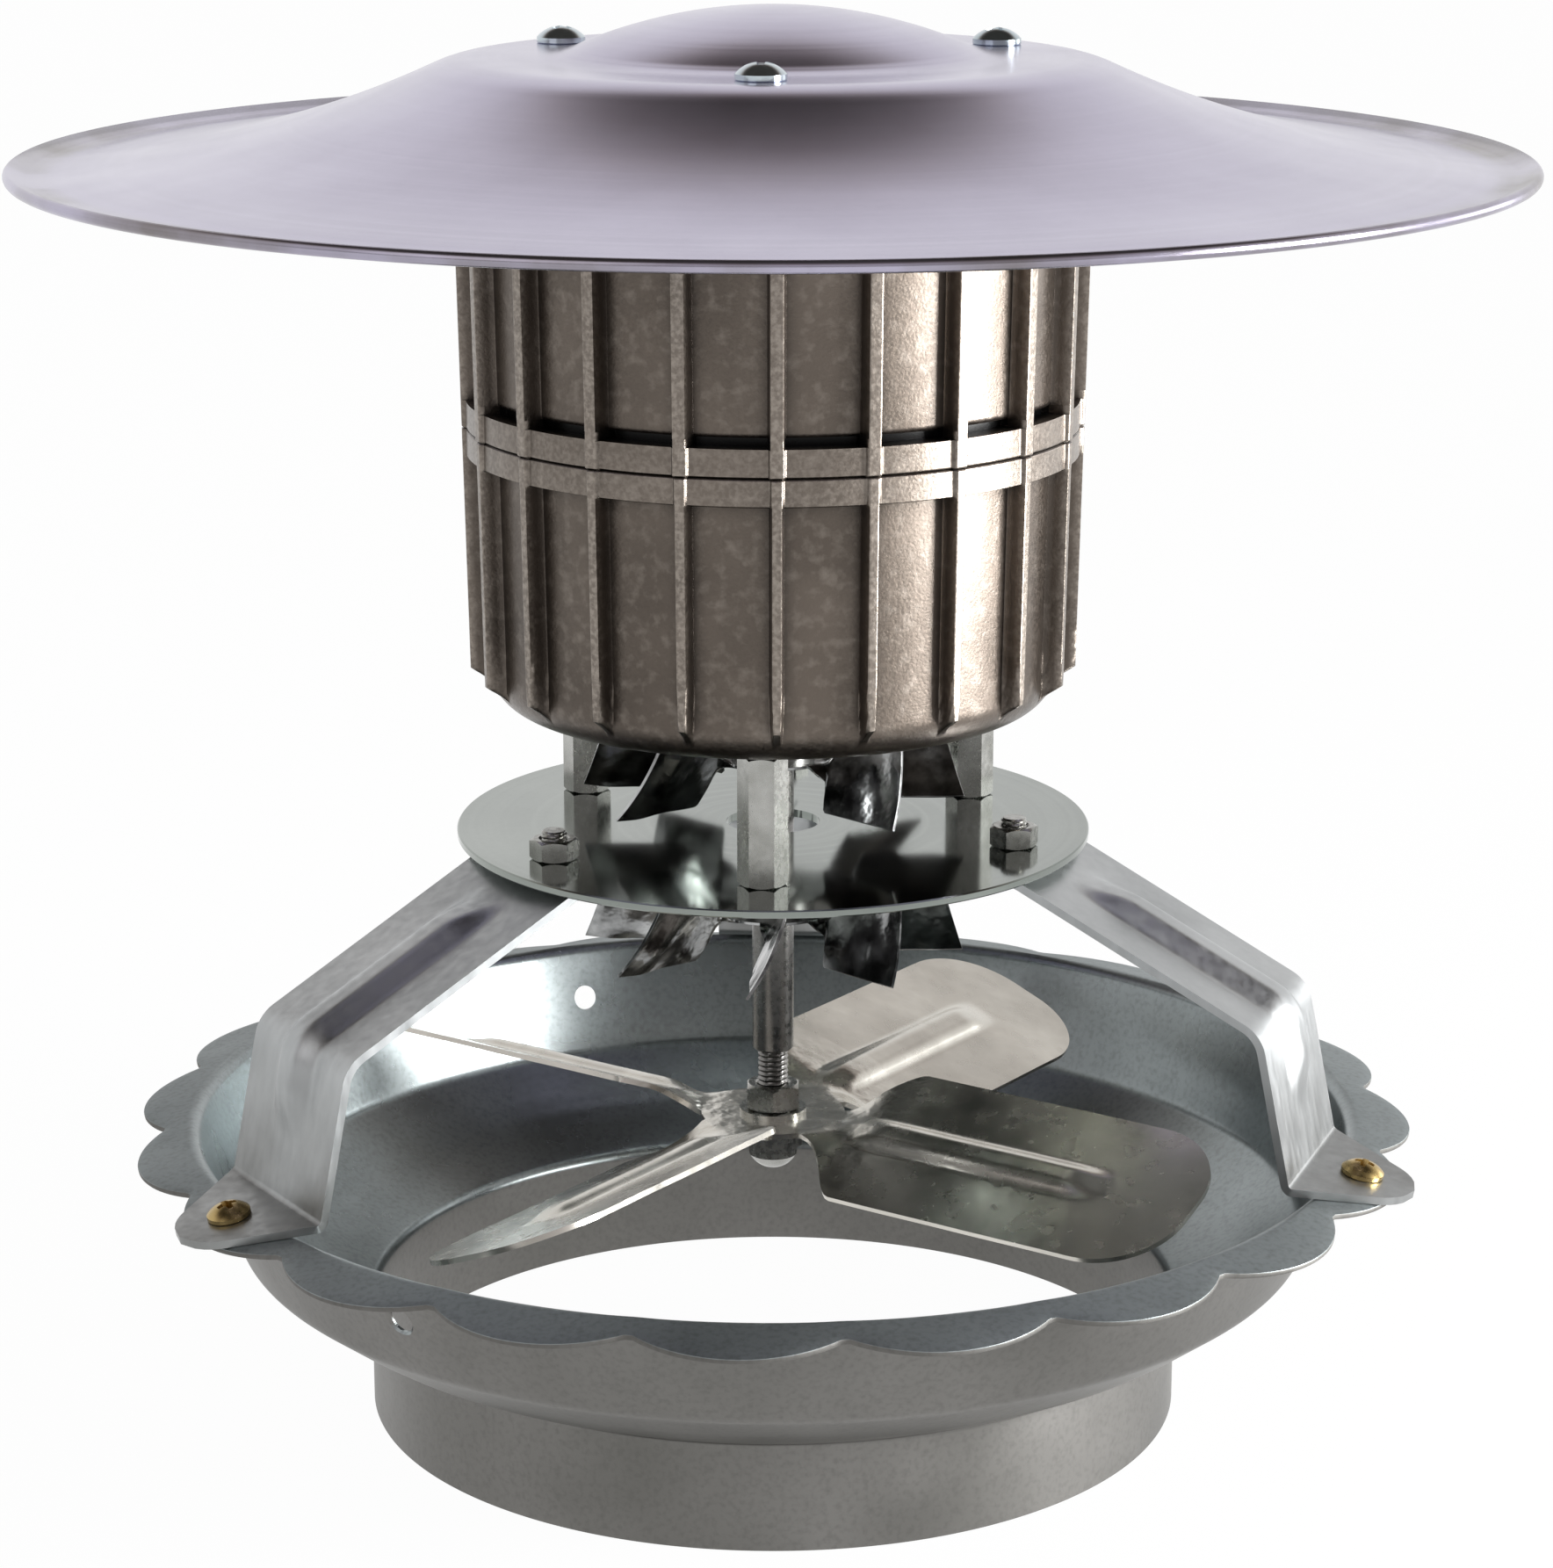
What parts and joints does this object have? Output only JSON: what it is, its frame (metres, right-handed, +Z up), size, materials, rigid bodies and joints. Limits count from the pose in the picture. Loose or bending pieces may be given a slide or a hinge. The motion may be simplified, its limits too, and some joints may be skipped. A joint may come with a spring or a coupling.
{
  "type": "chimney draft fan",
  "caption": "Chimney-top draft fan: scalloped bowl with a flue collar, bent legs, heat plate, ribbed motor under a dished rain cap, and a spinning paddle impeller on one shaft.",
  "frame": {"origin": "centre of the collar's lower edge", "axes": "+Z up along the shaft, -Y towards the side that the picture shows, +X to its right"},
  "size_m": [0.28, 0.28, 0.27],
  "materials": {
    "bowl_sheet": "galvanised, satin",
    "leg_sheet": "galvanised, satin",
    "cap_sheet": "brushed",
    "plate_sheet": "polished zinc",
    "impeller_sheet": "polished",
    "fan_sheet": "polished",
    "cast_aluminium": "satin casting",
    "yellow_zinc": "yellow passivated",
    "zinc_hardware": "zinc plated",
    "bright_screws": "bright zinc",
    "rubber": "matte",
    "core_iron": "laminated",
    "winding_copper": "varnished wire",
    "bearing_steel": "ground",
    "shaft_steel": "ground, dark",
    "bush_steel": "turned"
  },
  "bodies": {
    "stand": {"base_bowl": "bowl_sheet", "left_leg": "leg_sheet", "right_leg": "leg_sheet", "rear_leg": "leg_sheet", "foot_screws": "yellow_zinc", "foot_nuts": "zinc_hardware", "heat_plate": "plate_sheet", "leg_bolts": "zinc_hardware", "leg_nuts": "zinc_hardware", "standoffs": "zinc_hardware", "standoff_screws": "zinc_hardware", "lower_housing": "cast_aluminium", "upper_housing": "cast_aluminium", "housing_screws": "zinc_hardware", "cable_grommet": "rubber", "stator_core": "core_iron", "upper_winding": "winding_copper", "lower_winding": "winding_copper", "upper_bearing_outer": "bearing_steel", "lower_bearing_outer": "bearing_steel", "rain_cap": "cap_sheet", "cap_screws": "bright_screws"},
    "rotor": {"motor_shaft": "shaft_steel", "rotor_core": "core_iron", "upper_bearing_inner": "bearing_steel", "lower_bearing_inner": "bearing_steel", "upper_cooling_fan": "fan_sheet", "lower_cooling_fan": "fan_sheet", "upper_fan_bush": "bush_steel", "lower_fan_bush": "bush_steel", "bush_set_screws": "zinc_hardware", "impeller": "impeller_sheet", "impeller_washers": "zinc_hardware", "impeller_nut": "zinc_hardware", "dome_nut": "zinc_hardware"}
  },
  "joints": [
    {"name": "rotor_spin", "type": "hinge", "parent": "stand", "child": "rotor", "pos_m": [0, 0, 0.1], "axis": [0, 0, 1], "continuous": true}
  ]
}
